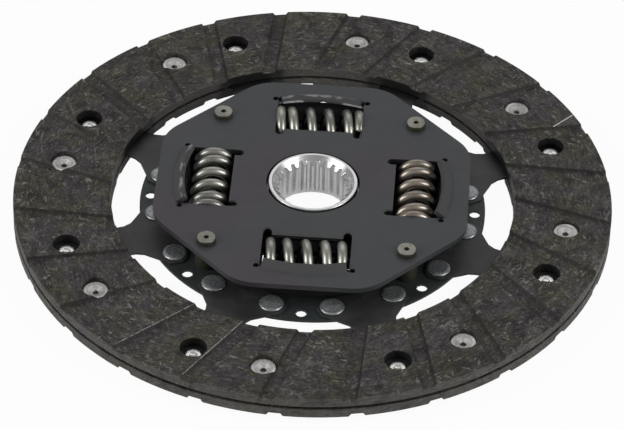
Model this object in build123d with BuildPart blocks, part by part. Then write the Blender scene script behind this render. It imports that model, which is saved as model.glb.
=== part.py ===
from build123d import *
import os
from math import asin, cos, degrees, pi, radians, sin, sqrt, tan

# Dry clutch disc with a single-stage torsion damper. Millimetres.
# The origin is on the hub's axis, half way between the two working faces.
# +Z points to the cover plate's side. The spring windows lie on the X and Y axes.
# Small rounds that repeat many times, such as rivets and their holes, have flats.

# ---------------------------------------------------------------- driving dimensions

visible_flats = 10  # flats of a small round that can be seen
hidden_flats = 6  # flats of one that is buried in the stack
pocket_flats = 16  # flats of the facings' wider holes

# friction facings
disc_od = 215.0
disc_id = 145.0
facing_t = 3.5
cushion_gap = 1.3  # free gap between the facings, held open by the segments
groove_count = 24
groove_floor_w = 4.0
groove_mouth_w = 5.6
groove_depth = 1.15
groove_lead = 24.0  # a groove's centre line is tangent to a circle of this radius
groove_end_front = 10.45  # degrees at which a groove leaves the rim
groove_end_rear = 12.0

# rivets that hold the facings
facing_rivet_circle_r = 91.8
front_rivet_start = 38.3  # degrees of the first rivet whose head is in the front facing
rear_rivet_start = 22.4
facing_rivet_count = 8
facing_rivet_shank_d = 4.8
facing_rivet_head_d = 9.1
facing_rivet_head_t = 1.1
facing_rivet_tail_t = 1.0
head_pocket_d = 9.8
head_web_t = 1.2  # facing left under a rivet head

# cushion segments
segment_count = 8
segment_t = 0.7
arm_start = 22.5  # degrees of the first segment's arm
arm_half_w = 7.6
ramp_start = 64.0  # the arm rises from the plate to the facings between these radii
ramp_end = 70.0
foot_top_z = -0.2
foot_inner_r = 50.4
paddle_inner_r = 76.0
paddle_outer_r = 104.0
paddle_gap = 2.4  # slit between one paddle and the next

# rivets that hold the segments
segment_rivet_circle_r = 56.4
segment_rivet_offset = 10.87  # degrees either side of each 45 degree line
segment_rivet_shank_d = 5.0
segment_rivet_head_d = 9.0
segment_rivet_head_t = 0.9
segment_rivet_tail_t = 1.4

# plates
drive_plate_t = 1.0
drive_plate_r = 62.25
drive_plate_bore_r = 17.65
index_hole_d = 4.0
index_hole_r = 58.5
cover_plate_t = 2.0
cover_top_z = 9.6
cover_flat_r = 56.0  # from the axis to each of the eight flats
cover_corner_fillet = 16.0
cover_bore_r = 16.8

# spring windows
window_half_l = 15.78
cover_window_inner = 29.2
window_cut_r = 49.8
lip_root_r = 50.6  # where the outer edge starts to bend out of the cover plate
lip_tip_r = 47.2
lip_rise = 2.4
lip_half_l = 15.4
drive_lip_drop = 2.0  # the drive plate's lips reach this far below it
relief_hole_d = 2.2
relief_hole_x = 16.85
relief_hole_y = 46.6
notch_d = 3.1
notch_x = 14.15
notch_y = 27.55

# spacer pins
pin_circle_r = 49.9
pin_body_d = 8.0
pin_tenon_d = 4.8
pin_head_d = 7.0
pin_head_t = 2.0
pin_tail_t = 1.4

# damper springs
spring_circle_r = 36.8
damper_z = 2.9  # height of the spring axes and of the hub flange's middle
single_spring_od = 17.6  # the two springs that have no inner spring
nested_spring_od = 15.8
spring_wire_d = 3.5
spring_l = 31.5
spring_active_turns = 3.5
spring_fit = 0.7  # between a spring and the long edges of its window
inner_spring_od = 8.2
inner_spring_wire_d = 2.1
inner_spring_l = 30.5
inner_spring_active_turns = 5.5
closed_turns = 0.9  # at each end of a spring
first_crossing = (0.15, 0.11, 0.15, 0.70)  # turns until each wire first reaches its top

# hub
hub_r = 16.0
hub_top_z = 10.0
hub_bottom_z = -7.6
spline_teeth = 26
spline_major_r = 13.5
spline_minor_r = 12.1
hub_lead_in = 1.2
hub_edge_chamfer = 0.5
seat_root_r = 18.0
seat_tip_r = 19.5
seat_teeth = 8

# hub flange
flange_t = 5.0
flange_r = 51.0
flange_waist_r = 45.4
twist_limit = 8.0  # degrees each way before a pin meets the flange
stop_clearance = 0.3
running_gap = 0.05

# friction stack between the plates and the flange
stack_inner_r = 17.8
stack_outer_r = 24.4
friction_ring_t = 0.8
support_washer_t = 0.4
cup_spring_t = 0.5

# ---------------------------------------------------------------- worked out from those

face_z = cushion_gap / 2 + facing_t
drive_top_z = foot_top_z - segment_t
drive_bottom_z = drive_top_z - drive_plate_t
cover_bottom_z = cover_top_z - cover_plate_t
flange_bottom_z = damper_z - flange_t / 2
flange_top_z = damper_z + flange_t / 2
shank_fit = 0.1  # a shank's hole is this much wider than the shank

os.makedirs("parts", exist_ok=True)


def finish(node, name):
    """Label one piece and write it."""
    node.part.label = name
    export_step(node.part, f"parts/{name}.step")


# ---------------------------------------------------------------- friction facings


def facing(side, groove_end, head_start, tail_start):
    """One moulded ring: grooves across its working face, pockets for its own
    rivet heads and clearance holes for the tails of the other ring's rivets."""
    above = 1.0  # the groove's tool starts this far outside the face
    lead_angle = degrees(asin(groove_lead / (disc_od / 2)))
    flare = (groove_mouth_w - groove_floor_w) / 2 / groove_depth
    floor = groove_floor_w / 2
    mouth = groove_mouth_w / 2 + above * flare
    across_groove = Plane(
        origin=(0, side * groove_lead, side * face_z), x_dir=(0, 1, 0), z_dir=(1, 0, 0)
    )
    with BuildPart() as groove:
        with BuildSketch(across_groove):
            with BuildLine():
                Polyline(
                    (-mouth, side * above),
                    (-floor, -side * groove_depth),
                    (floor, -side * groove_depth),
                    (mouth, side * above),
                    close=True,
                )
            make_face()
        extrude(amount=disc_od / 2 + 5)

    with BuildPart() as ring:
        with BuildSketch(Plane.XY.offset(side * cushion_gap / 2)):
            Circle(disc_od / 2)
            Circle(disc_id / 2, mode=Mode.SUBTRACT)
            with PolarLocations(facing_rivet_circle_r, facing_rivet_count, tail_start):
                RegularPolygon(head_pocket_d / 2, pocket_flats, mode=Mode.SUBTRACT)
            with PolarLocations(facing_rivet_circle_r, facing_rivet_count, head_start):
                shank_hole_r = (facing_rivet_shank_d + shank_fit) / 2
                RegularPolygon(shank_hole_r, hidden_flats, mode=Mode.SUBTRACT)
        extrude(amount=side * facing_t)
        with BuildSketch(Plane.XY.offset(side * face_z)):
            with PolarLocations(facing_rivet_circle_r, facing_rivet_count, head_start):
                RegularPolygon(head_pocket_d / 2, pocket_flats)
        extrude(amount=-side * (facing_t - head_web_t), mode=Mode.SUBTRACT)
        with PolarLocations(0, groove_count, start_angle=groove_end - side * lead_angle):
            add(groove.part, mode=Mode.SUBTRACT)
    return ring


facing_front = facing(1, groove_end_front, front_rivet_start, rear_rivet_start)
finish(facing_front, "facing_front")
facing_rear = facing(-1, groove_end_rear, rear_rivet_start, front_rivet_start)
finish(facing_rear, "facing_rear")


def facing_rivets(side, start):
    """Eight rivets: a flat head in the facing's pocket, and a shank through the
    facing's web and the segment, with its end just past the segment."""
    head_seat = side * (cushion_gap / 2 + head_web_t)
    shank_end = side * (cushion_gap / 2 - segment_t - facing_rivet_tail_t)
    with BuildPart() as group:
        with BuildSketch(Plane.XY.offset(shank_end)):
            with PolarLocations(facing_rivet_circle_r, facing_rivet_count, start):
                RegularPolygon(facing_rivet_shank_d / 2, hidden_flats)
        extrude(amount=head_seat - shank_end)
        with BuildSketch(Plane.XY.offset(head_seat)):
            with PolarLocations(facing_rivet_circle_r, facing_rivet_count, start):
                RegularPolygon(facing_rivet_head_d / 2, visible_flats)
        extrude(amount=side * facing_rivet_head_t)
    return group


finish(facing_rivets(1, front_rivet_start), "facing_rivets_front")
finish(facing_rivets(-1, rear_rivet_start), "facing_rivets_rear")

# ---------------------------------------------------------------- cushion segments

foot_rivet_angle = 45 / 2 - segment_rivet_offset
arm_low_z = -cushion_gap / 2  # underside of the arm, against the rear facing's back
lap_r = 80.0  # the arm runs this far under the paddle's inner edge
paddle_middle = (front_rivet_start + rear_rivet_start) / 2
rivet_y = facing_rivet_circle_r * sin(radians((front_rivet_start - rear_rivet_start) / 2))

with BuildPart() as arm:
    # side view of the sheet: foot, ramp and the strip that joins the paddle
    with BuildSketch(Plane.XZ):
        with BuildLine():
            lower = [
                (foot_inner_r - 2, drive_top_z),
                (ramp_start, drive_top_z),
                (ramp_end, arm_low_z),
                (lap_r, arm_low_z),
            ]
            Polyline(*lower, *[(x, z + segment_t) for x, z in reversed(lower)], close=True)
        make_face()
    extrude(amount=20, both=True)
    with BuildSketch(Plane.XY.offset(-5)):
        with BuildLine():
            upper = [
                (foot_inner_r, 11.6),
                (51.4, 14.6),
                (54.0, 16.8),
                (58.6, 16.4),
                (60.3, 14.0),
                (62.6, 11.7),
                (65.7, 8.7),
                (68.6, arm_half_w),
                (lap_r, arm_half_w),
            ]
            Polyline(*upper, *[(x, -y) for x, y in reversed(upper)], close=True)
        make_face()
    extrude(amount=10, mode=Mode.INTERSECT)

with BuildPart() as paddle:
    # end view of the sheet: one half bears on the rear facing, the other on the front one
    with BuildSketch(Plane.YZ.offset(paddle_inner_r - 6)):
        with BuildLine():
            low = -cushion_gap / 2
            high = cushion_gap / 2 - segment_t
            crest = [(-46, low), (-rivet_y + 10.5, low), (rivet_y - 5.5, high), (46, high)]
            Polyline(*crest, *[(y, z + segment_t) for y, z in reversed(crest)], close=True)
        make_face()
    extrude(amount=40)
    with BuildSketch(Plane.XY.offset(-5)) as outline:
        Circle(paddle_outer_r)
        Circle(paddle_inner_r, mode=Mode.SUBTRACT)
        half_angle = radians(180 / segment_count)
        slit = paddle_gap / 2 / sin(half_angle)
        reach = paddle_outer_r + 20
        with BuildLine():
            Polyline(
                (slit, 0),
                (slit + reach, reach * tan(half_angle)),
                (slit + reach, -reach * tan(half_angle)),
                close=True,
            )
        make_face(mode=Mode.INTERSECT)
        chamfer(outline.vertices(), length=2.0)
    extrude(amount=10, mode=Mode.INTERSECT)

with BuildPart() as segment:
    add(arm.part)
    add(paddle.part, rotation=(0, 0, paddle_middle - arm_start))
    with BuildSketch(Plane.XY.offset(-5)):
        foot_hole_r = (segment_rivet_shank_d + shank_fit) / 2
        for angle in (-foot_rivet_angle, foot_rivet_angle):
            with PolarLocations(segment_rivet_circle_r, 1, start_angle=angle):
                RegularPolygon(foot_hole_r, hidden_flats)
        paddle_hole_r = (facing_rivet_shank_d + shank_fit) / 2
        for angle in (front_rivet_start - arm_start, rear_rivet_start - arm_start):
            with PolarLocations(facing_rivet_circle_r, 1, start_angle=angle):
                RegularPolygon(paddle_hole_r, hidden_flats)
    extrude(amount=10, mode=Mode.SUBTRACT)

for number in range(segment_count):
    with BuildPart() as cushion_segment:
        add(segment.part, rotation=(0, 0, arm_start + number * 360 / segment_count))
    finish(cushion_segment, f"cushion_segment_{number + 1}")


def segment_rivet_sites(radius, flats, mode=Mode.ADD):
    """The same polygon at the sixteen places of the segment rivets."""
    for start in (-segment_rivet_offset, segment_rivet_offset):
        with PolarLocations(segment_rivet_circle_r, segment_count, start_angle=start):
            RegularPolygon(radius, flats, mode=mode)


with BuildPart() as segment_rivets:
    with BuildSketch(Plane.XY.offset(drive_bottom_z - segment_rivet_tail_t)):
        segment_rivet_sites(segment_rivet_shank_d / 2, hidden_flats)
    extrude(amount=foot_top_z - drive_bottom_z + segment_rivet_tail_t)
    with BuildSketch(Plane.XY.offset(foot_top_z)):
        segment_rivet_sites(segment_rivet_head_d / 2, visible_flats)
    extrude(amount=segment_rivet_head_t)
finish(segment_rivets, "segment_rivets")

# ---------------------------------------------------------------- plates of the damper

with BuildSketch() as cover_window:
    # opening for the spring on +Y: its outer edge is concentric with the disc, and it
    # has a notch at each inner corner and a relief hole beside each end of the lip
    Circle(window_cut_r)
    with Locations((0, (cover_window_inner + window_cut_r) / 2)):
        Rectangle(2 * window_half_l, window_cut_r - cover_window_inner, mode=Mode.INTERSECT)
    for side in (-1, 1):
        with Locations((side * notch_x, notch_y)):
            RegularPolygon(notch_d / 2, visible_flats, rotation=90)
        with Locations((side * notch_x, (notch_y + cover_window_inner) / 2 + 0.5)):
            Rectangle(notch_d, cover_window_inner - notch_y + 1)
        with Locations((side * relief_hole_x, relief_hole_y)):
            RegularPolygon(relief_hole_d / 2, visible_flats)


with BuildPart() as lip:
    # outer edge of one window, bent up out of the plate like a roof over the spring
    lip_reach = lip_root_r - lip_tip_r
    lip_slant = sqrt(lip_reach**2 + lip_rise**2)
    lip_inward = cover_plate_t * lip_rise / lip_slant
    lip_down = cover_plate_t * lip_reach / lip_slant
    lip_heel = (cover_plate_t - lip_down) * lip_reach / lip_rise
    lip_arc = 2 * degrees(asin(lip_half_l / lip_root_r))
    with BuildSketch(Plane.XZ):
        with BuildLine():
            Polyline(
                (lip_root_r + 1, cover_top_z),
                (lip_root_r, cover_top_z),
                (lip_tip_r, cover_top_z + lip_rise),
                (lip_tip_r - lip_inward, cover_top_z + lip_rise - lip_down),
                (lip_root_r - lip_inward + lip_heel, cover_bottom_z),
                (lip_root_r + 1, cover_bottom_z),
                close=True,
            )
        make_face()
    revolve(axis=Axis.Z, revolution_arc=lip_arc)

with BuildPart() as cover_plate:
    with BuildSketch(Plane.XY.offset(cover_bottom_z)) as cover_outline:
        RegularPolygon(cover_flat_r, 8, major_radius=False, rotation=22.5)
        fillet(cover_outline.vertices(), radius=cover_corner_fillet)
        Circle(cover_bore_r, mode=Mode.SUBTRACT)
        with PolarLocations(0, 4):
            add(cover_window.sketch, mode=Mode.SUBTRACT)
        with PolarLocations(pin_circle_r, 4, start_angle=45):
            tenon_hole_r = (pin_tenon_d + shank_fit) / 2
            RegularPolygon(tenon_hole_r, hidden_flats, mode=Mode.SUBTRACT)
    extrude(amount=cover_plate_t)
    with PolarLocations(0, 4, start_angle=90 - lip_arc / 2):
        add(lip.part)
finish(cover_plate, "cover_plate")


def window_edges(outer_d, bottom_z, top_z):
    """Inner and outer radius of a window for a spring, where it cuts a layer of sheet."""
    nearest = max(bottom_z - damper_z, damper_z - top_z, 0)
    half_width = sqrt((outer_d / 2) ** 2 - nearest**2) + spring_fit
    return spring_circle_r - half_width, spring_circle_r + half_width


def cut_windows(bottom_z, top_z):
    """Four plain rectangular windows, nested springs on X and single ones on Y."""
    for outer_d, start in ((nested_spring_od, 0), (single_spring_od, 90)):
        inner, outer = window_edges(outer_d, bottom_z, top_z)
        with PolarLocations((inner + outer) / 2, 2, start_angle=start):
            Rectangle(outer - inner, 2 * window_half_l, mode=Mode.SUBTRACT)


def window_lips(outer_d):
    """Long edges of the drive plate's window on +X, bent down and in under the
    spring's flanks. Both are strips of the plate's own thickness."""
    root = window_edges(outer_d, drive_bottom_z, drive_top_z)[1]
    tip_z = drive_bottom_z - drive_lip_drop
    tip = window_edges(outer_d, tip_z, tip_z)[1]
    slant = sqrt((root - tip) ** 2 + drive_lip_drop**2)
    outward = drive_plate_t * drive_lip_drop / slant
    down = drive_plate_t * (root - tip) / slant
    with BuildPart() as lips:
        with BuildSketch(Plane.XZ):
            with BuildLine():
                Polyline(
                    (root, drive_bottom_z),
                    (tip, tip_z),
                    (tip + outward, tip_z - down),
                    (root + drive_plate_t * slant / drive_lip_drop, drive_bottom_z),
                    close=True,
                )
            make_face()
            mirror(about=Plane.YZ.offset(spring_circle_r))
        extrude(amount=lip_half_l, both=True)
    return lips


with BuildPart() as drive_plate:
    with BuildSketch(Plane.XY.offset(drive_bottom_z)):
        Circle(drive_plate_r)
        Circle(drive_plate_bore_r, mode=Mode.SUBTRACT)
        segment_rivet_sites(
            (segment_rivet_shank_d + shank_fit) / 2, hidden_flats, Mode.SUBTRACT
        )
        with PolarLocations(index_hole_r, segment_count):
            RegularPolygon(index_hole_d / 2, visible_flats, mode=Mode.SUBTRACT)
        with PolarLocations(pin_circle_r, 4, start_angle=45):
            tenon_hole_r = (pin_tenon_d + shank_fit) / 2
            RegularPolygon(tenon_hole_r, hidden_flats, mode=Mode.SUBTRACT)
        cut_windows(drive_bottom_z, drive_top_z)
    extrude(amount=drive_plate_t)
    for outer_d, start in ((nested_spring_od, 0), (single_spring_od, 90)):
        with PolarLocations(0, 2, start_angle=start):
            add(window_lips(outer_d).part)
finish(drive_plate, "drive_plate")

pin_steps = [
    (pin_head_d, visible_flats, drive_bottom_z - pin_tail_t, drive_bottom_z),
    (pin_tenon_d, hidden_flats, drive_bottom_z, drive_top_z),
    (pin_body_d, visible_flats, drive_top_z, cover_bottom_z),
    (pin_tenon_d, hidden_flats, cover_bottom_z, cover_top_z),
    (pin_head_d, visible_flats, cover_top_z, cover_top_z + pin_head_t),
]
with BuildPart() as spacer_pins:
    for diameter, flats, bottom, top in pin_steps:
        with BuildSketch(Plane.XY.offset(bottom)):
            with PolarLocations(pin_circle_r, 4, start_angle=45):
                RegularPolygon(diameter / 2, flats)
        extrude(amount=top - bottom)
finish(spacer_pins, "spacer_pins")

# ---------------------------------------------------------------- hub and its flange


def toothed_disc(root_r, tip_r, teeth, root_w, tip_w):
    """Disc with outward trapezoid teeth, widest at the root."""
    with BuildSketch() as tooth:
        with BuildLine():
            Polyline(
                (root_r - 1, -root_w / 2),
                (tip_r, -tip_w / 2),
                (tip_r, tip_w / 2),
                (root_r - 1, root_w / 2),
                close=True,
            )
        make_face()
    with BuildSketch() as disc:
        Circle(root_r)
        with PolarLocations(0, teeth):
            add(tooth.sketch)
    return disc


spline_space = toothed_disc(spline_minor_r, spline_major_r, spline_teeth, 2.3, 1.35)
flange_seat = toothed_disc(seat_root_r, seat_tip_r, seat_teeth, 7.4, 6.2)

with BuildPart() as lead_in:
    # countersink at each end of the bore, down to the tooth spaces
    for end_z, toward in ((hub_top_z, -1), (hub_bottom_z, 1)):
        with BuildSketch(Plane.XZ):
            with BuildLine():
                foot_z = end_z + toward * hub_lead_in
                foot_r = spline_major_r + 0.1
                Polyline(
                    (0, end_z),
                    (foot_r + hub_lead_in, end_z),
                    (foot_r, foot_z),
                    (0, foot_z),
                    close=True,
                )
            make_face()
        revolve(axis=Axis.Z)

with BuildPart() as hub:
    with BuildSketch(Plane.XY.offset(hub_bottom_z)):
        Circle(hub_r)
    extrude(amount=hub_top_z - hub_bottom_z)
    chamfer(hub.edges().filter_by(GeomType.CIRCLE), length=hub_edge_chamfer)
    with BuildSketch(Plane.XY.offset(flange_bottom_z)):
        add(flange_seat.sketch)
    extrude(amount=flange_t)
    with BuildSketch(Plane.XY.offset(hub_bottom_z)):
        add(spline_space.sketch)
    extrude(amount=hub_top_z - hub_bottom_z, mode=Mode.SUBTRACT)
    add(lead_in.part, mode=Mode.SUBTRACT)
finish(hub, "hub")

stop_half_angle = radians(
    twist_limit + degrees(asin((pin_body_d / 2 + stop_clearance) / pin_circle_r))
)
with BuildSketch() as stop_notch:
    with BuildLine():
        far = flange_r + 10
        Polyline(
            (0, 0),
            (far * cos(stop_half_angle), far * sin(stop_half_angle)),
            (far * cos(stop_half_angle), -far * sin(stop_half_angle)),
            close=True,
        )
    make_face()
    Circle(flange_waist_r, mode=Mode.SUBTRACT)

with BuildPart() as hub_flange:
    with BuildSketch(Plane.XY.offset(flange_bottom_z)) as flange_outline:
        Circle(flange_r)
        with PolarLocations(0, 4, start_angle=45):
            add(stop_notch.sketch, mode=Mode.SUBTRACT)
        chamfer(flange_outline.vertices(), length=1.0)
        add(flange_seat.sketch, mode=Mode.SUBTRACT)
        cut_windows(flange_bottom_z, flange_top_z)
    extrude(amount=flange_t)
finish(hub_flange, "hub_flange")

# ---------------------------------------------------------------- friction stack


def ring(profile):
    """Ring turned from its half section."""
    with BuildPart() as turned:
        with BuildSketch(Plane.XZ):
            with BuildLine():
                Polyline(*profile, close=True)
            make_face()
        revolve(axis=Axis.Z)
    return turned


def flat_ring(bottom_z, top_z):
    """Plain ring of the friction stack."""
    with BuildPart() as washer:
        with BuildSketch(Plane.XY.offset(bottom_z)):
            Circle(stack_outer_r)
            Circle(stack_inner_r, mode=Mode.SUBTRACT)
        extrude(amount=top_z - bottom_z)
    return washer


bush_r = hub_r + running_gap
sleeve_r = drive_plate_bore_r - running_gap
bush_top_z = flange_bottom_z - running_gap  # the collar is the rear friction face
guide_bush = ring(
    [
        (bush_r, drive_bottom_z),
        (sleeve_r, drive_bottom_z),
        (sleeve_r, drive_top_z),
        (stack_outer_r, drive_top_z),
        (stack_outer_r, bush_top_z),
        (bush_r, bush_top_z),
    ]
)
finish(guide_bush, "guide_bush")

friction_z = flange_top_z + running_gap
washer_z = friction_z + friction_ring_t
cup_z = washer_z + support_washer_t
finish(flat_ring(friction_z, washer_z), "friction_ring")
finish(flat_ring(washer_z, cup_z), "support_washer")
cup_spring = ring(
    [
        (stack_inner_r, cover_bottom_z - cup_spring_t),
        (stack_outer_r, cup_z),
        (stack_outer_r, cup_z + cup_spring_t),
        (stack_inner_r, cover_bottom_z),
    ]
)
finish(cup_spring, "cup_spring")

# ---------------------------------------------------------------- damper springs


def coil_spring(outer_d, wire_d, active_turns, length, wire_sides, chords, crossing):
    """Coil spring along X, centred on the origin: closed coils at both ends, the
    active coils evenly spread between them, and the ends ground flat. The wire is
    first at its highest after the given part of a turn."""
    coil_r = (outer_d - wire_d) / 2
    start_x = -length / 2 + wire_d / 4
    active_l = -2 * start_x - 2 * closed_turns * wire_d
    total_turns = active_turns + 2 * closed_turns

    def along(turn):
        """Distance along the axis after so many turns."""
        first = min(turn, closed_turns)
        active = min(max(turn - closed_turns, 0), active_turns)
        last = max(turn - closed_turns - active_turns, 0)
        return start_x + (first + last) * wire_d + active * active_l / active_turns

    def turned(turn):
        """Angle round the axis after so many turns."""
        return 2 * pi * (turn - crossing + 0.25)

    turns = [step / chords for step in range(round(total_turns * chords) + 1)]
    wire = [(along(t), coil_r * cos(turned(t)), coil_r * sin(turned(t))) for t in turns]
    with BuildPart() as spring:
        with BuildLine() as path:
            Polyline(*wire)
        with BuildSketch(Plane(origin=path.line @ 0, z_dir=path.line % 0)):
            RegularPolygon(wire_d / 2, wire_sides)
        sweep(transition=Transition.RIGHT)
        Box(length, 2 * outer_d, 2 * outer_d, mode=Mode.INTERSECT)
    return spring


inner_spring = coil_spring(
    inner_spring_od, inner_spring_wire_d, inner_spring_active_turns, inner_spring_l, 4, 7, 0
)

for number in range(4):
    nested = number % 2 == 0
    outer_spring = coil_spring(
        nested_spring_od if nested else single_spring_od,
        spring_wire_d,
        spring_active_turns,
        spring_l,
        5,
        9,
        first_crossing[number],
    )
    angle = radians(number * 90)
    seat = Plane(
        origin=(spring_circle_r * cos(angle), spring_circle_r * sin(angle), damper_z),
        x_dir=(-sin(angle), cos(angle), 0),
        z_dir=(0, 0, 1),
    )
    with BuildPart() as damper_spring:
        with Locations(seat):
            add(outer_spring.part)
    finish(damper_spring, f"damper_spring_{number + 1}")
    if nested:
        with BuildPart() as nested_spring:
            with Locations(seat):
                add(inner_spring.part)
        finish(nested_spring, f"inner_spring_{number + 1}")
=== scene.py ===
import bmesh
import bpy
import numpy as np
from mathutils import Matrix, Vector


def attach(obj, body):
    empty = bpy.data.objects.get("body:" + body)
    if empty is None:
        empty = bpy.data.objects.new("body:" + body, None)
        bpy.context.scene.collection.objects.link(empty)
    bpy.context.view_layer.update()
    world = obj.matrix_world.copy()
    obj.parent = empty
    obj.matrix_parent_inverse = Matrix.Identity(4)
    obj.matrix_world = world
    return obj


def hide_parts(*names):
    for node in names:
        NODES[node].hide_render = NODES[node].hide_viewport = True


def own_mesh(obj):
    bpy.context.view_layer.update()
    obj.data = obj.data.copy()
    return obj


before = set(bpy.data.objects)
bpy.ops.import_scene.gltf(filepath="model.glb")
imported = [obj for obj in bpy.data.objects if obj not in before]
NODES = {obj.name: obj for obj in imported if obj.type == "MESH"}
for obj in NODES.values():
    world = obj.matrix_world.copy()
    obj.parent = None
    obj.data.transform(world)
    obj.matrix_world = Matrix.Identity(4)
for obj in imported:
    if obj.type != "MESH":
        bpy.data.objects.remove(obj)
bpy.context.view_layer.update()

MM = 0.001
FULL_TURN = 2 * np.pi

# ---------------------------------------------------------------- sizes in mm, in the row frame

FACE_Z = 4.15  # working face of the front facing; the rear one is at -FACE_Z
RIM_R = 107.5  # outside of the facings
BORE_R = 72.5  # inside of the facings
FACING_WEB = 1.2
CUSHION_HALF = 0.65
SEGMENT_COUNT = 8
SEGMENT_T = 0.7
ARM_START = 22.5  # degrees of the first segment's arm
GROOVE_COUNT = 24
GROOVE_LEAD = 24.0  # a groove's middle line is tangent to a circle of this radius
GROOVE_START = {1: np.radians(-2.45), -1: np.radians(24.9)}  # by side
HIGHLIGHTED_GROOVES = (-122.5, -107.5)  # degrees round the front facing
GROOVE_HIGHLIGHT_TO = 106.0
STROKE_START = (83.2, 43.7)  # one end of the pale stroke on the front facing
STROKE_TURN = 46.9  # degrees
STROKE_LENGTH = 14.2
FACING_RIVET_COUNT = 8  # on each side
FACING_RIVET_R = 91.8
FRONT_RIVET_START = 38.3  # degrees
REAR_RIVET_START = 22.4
FOOT_TOP_Z = -0.2
FOOT_DIMPLE_R = 53.6  # of the circle they stand on
DRIVE_TOP_Z = -0.9
DRIVE_BOTTOM_Z = -1.9
SEGMENT_RIVET_R = 56.4
SEGMENT_RIVET_OFFSET = 10.87  # degrees to either side of each 45 degree line
COVER_TOP_Z = 9.6
COVER_BOTTOM_Z = 7.6
PIN_COUNT = 4
PIN_START = 45  # degrees
PIN_R = 49.9
DAMPER_Z = 2.9  # middle plane of the springs and the hub flange
SPRING_R = 36.8
SPRING_L = 31.5
SPRING_WIRE_D = 3.5
SPRING_OUTER_D = (17.6, 15.8)  # of the springs with even numbers and with odd ones
SPRING_TURNS = 3.5  # between the closed end coils
INNER_SPRING_L = 30.5
INNER_SPRING_WIRE_D = 2.1
INNER_SPRING_OUTER_D = 8.2
INNER_SPRING_TURNS = 5.5
HUB_R = 16.0
HUB_TOP_Z = 10.0
HUB_BOTTOM_Z = -7.6
HUB_MOUTH_R = 14.85  # of the lead-in cone at either end
SPLINE_TEETH = 26
SPLINE_MINOR_R = 12.1
SPLINE_MAJOR_R = 13.5
FLANGE_SEAT_R = 18.0
FLANGE_SEAT_HALF = 2.5


# ---------------------------------------------------------------- shader maths


class Value:
    """A shader socket that can be used in a Python expression."""

    def __init__(self, shader, socket):
        self.shader = shader
        self.socket = socket

    def _math(self, operation, *others):
        return self.shader.node(
            "ShaderNodeMath", {"operation": operation}, dict(enumerate((self, *others)))
        )[0]

    def __add__(self, other):
        return self._math("ADD", other)

    def __radd__(self, other):
        return self._math("ADD", other)

    def __sub__(self, other):
        return self._math("SUBTRACT", other)

    def __rsub__(self, other):
        return self.shader.value(other)._math("SUBTRACT", self)

    def __mul__(self, other):
        return self._math("MULTIPLY", other)

    def __rmul__(self, other):
        return self._math("MULTIPLY", other)

    def __truediv__(self, other):
        return self._math("DIVIDE", other)

    def __rtruediv__(self, other):
        return self.shader.value(other)._math("DIVIDE", self)

    def __pow__(self, other):
        return self._math("POWER", other)

    def sin(self):
        return self._math("SINE")

    def arcsin(self):
        return self._math("ARCSINE")

    def angle_from(self, x):
        """The angle whose tangent is this over x, from -pi to pi."""
        return self._math("ARCTAN2", x)

    def part_of(self, step):
        """What is left over after whole steps, from 0 to the step."""
        return self._math("FLOORED_MODULO", step)

    def abs(self):
        return self._math("ABSOLUTE")

    def most(self, other):
        """The larger of the two."""
        return self._math("MAXIMUM", other)

    def ramp(self, low, high):
        """0 below low, 1 above high, smooth between."""
        return self.shader.node(
            "ShaderNodeMapRange",
            {"interpolation_type": "SMOOTHSTEP", "clamp": True},
            {"Value": self, "From Min": low, "From Max": high},
        )[0]


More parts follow.
